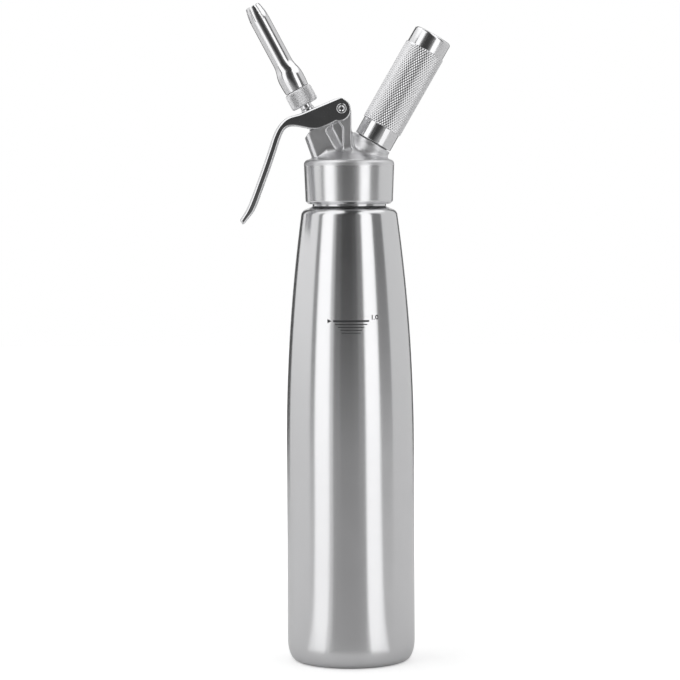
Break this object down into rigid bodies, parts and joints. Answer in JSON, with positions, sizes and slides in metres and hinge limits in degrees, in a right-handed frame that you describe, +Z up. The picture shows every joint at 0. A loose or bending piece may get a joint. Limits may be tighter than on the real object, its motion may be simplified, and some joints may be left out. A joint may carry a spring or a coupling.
{
  "type": "whipped cream dispenser",
  "caption": "Steel whipped cream dispenser: tapered bottle, screw-on head with lever valve, slit decorating nozzle and knurled gas charger holder.",
  "frame": {"origin": "centre of the bottle's flat base, where it stands", "axes": "+Z up along the bottle's axis; the nozzle and the lever point to -X, the charger holder to +X"},
  "size_m": [0.1311, 0.08, 0.4113],
  "materials": {
    "brushed_bottle": "turned brushing",
    "head_steel": "fine satin",
    "polished_steel": "polished",
    "matt_steel": "matt",
    "knurled_steel": "polished ends, diamond knurl",
    "spring_steel": "drawn wire",
    "charger_steel": "zinc plated",
    "brass": "machined",
    "red_rubber": "moulded",
    "black_rubber": "moulded",
    "grey_rubber": "moulded"
  },
  "bodies": {
    "bottle": {"bottle": "brushed_bottle"},
    "head_gasket": {"head_gasket": "red_rubber"},
    "head": {"head_body": "head_steel", "pivot_pin": "polished_steel", "pivot_clip": "spring_steel", "guide_bush": "brass", "stem_ring": "black_rubber", "valve_spring": "spring_steel", "piercing_valve": "brass", "piercing_needle": "spring_steel", "check_valve_sleeve": "black_rubber", "piercer_gasket": "grey_rubber", "charger_seal": "black_rubber"},
    "lever": {"lever": "polished_steel"},
    "valve": {"valve_stem": "polished_steel", "valve_seal": "red_rubber", "seal_nut": "head_steel"},
    "nozzle_seal": {"nozzle_seal": "grey_rubber"},
    "nozzle": {"adapter_ring": "matt_steel", "decorator_nozzle": "polished_steel"},
    "gas_charger": {"gas_charger": "charger_steel"},
    "charger_holder": {"charger_holder": "knurled_steel"}
  },
  "joints": [
    {"name": "head_lift", "type": "slide", "parent": "bottle", "child": "head_gasket", "axis": [0, 0, 1], "range_m": [0, 0.00676]},
    {"name": "head_unscrew", "type": "hinge", "parent": "head_gasket", "child": "head", "pos_m": [0, 0, 0.2863], "axis": [0, 0, 1], "range_deg": [0, 810]},
    {"name": "lever_squeeze", "type": "hinge", "parent": "head", "child": "lever", "pos_m": [-0.0045, 0, 0.3453], "axis": [0, -1, 0], "range_deg": [0, 14], "stiffness_Nm_per_rad": 0.8, "springref_deg": -17.19, "deforming": ["valve_spring"]},
    {"name": "valve_stroke", "type": "slide", "parent": "head", "child": "valve", "axis": [0.4695, 0, -0.8829], "range_m": [0, 0.0046]},
    {"name": "nozzle_lift", "type": "slide", "parent": "valve", "child": "nozzle_seal", "axis": [-0.4695, 0, 0.8829], "range_m": [0, 0.00551]},
    {"name": "nozzle_unscrew", "type": "hinge", "parent": "nozzle_seal", "child": "nozzle", "pos_m": [0, 0, 0.2971], "axis": [-0.4695, 0, 0.8829], "range_deg": [0, 990]},
    {"name": "charger_lift", "type": "slide", "parent": "head", "child": "gas_charger", "axis": [0.5, 0, 0.866], "range_m": [0, 0.00626]},
    {"name": "holder_unscrew", "type": "hinge", "parent": "gas_charger", "child": "charger_holder", "pos_m": [0, 0, 0.2991], "axis": [0.5, 0, 0.866], "range_deg": [0, 900]}
  ],
  "couplings": [
    {"joint": "head_lift", "follows": "head_unscrew", "m_per_rad": 0.00047746},
    {"joint": "valve_stroke", "follows": "lever_squeeze", "m_per_rad": 0.01875},
    {"joint": "nozzle_lift", "follows": "nozzle_unscrew", "m_per_rad": 0.00031831},
    {"joint": "charger_lift", "follows": "holder_unscrew", "m_per_rad": 0.00039789}
  ]
}
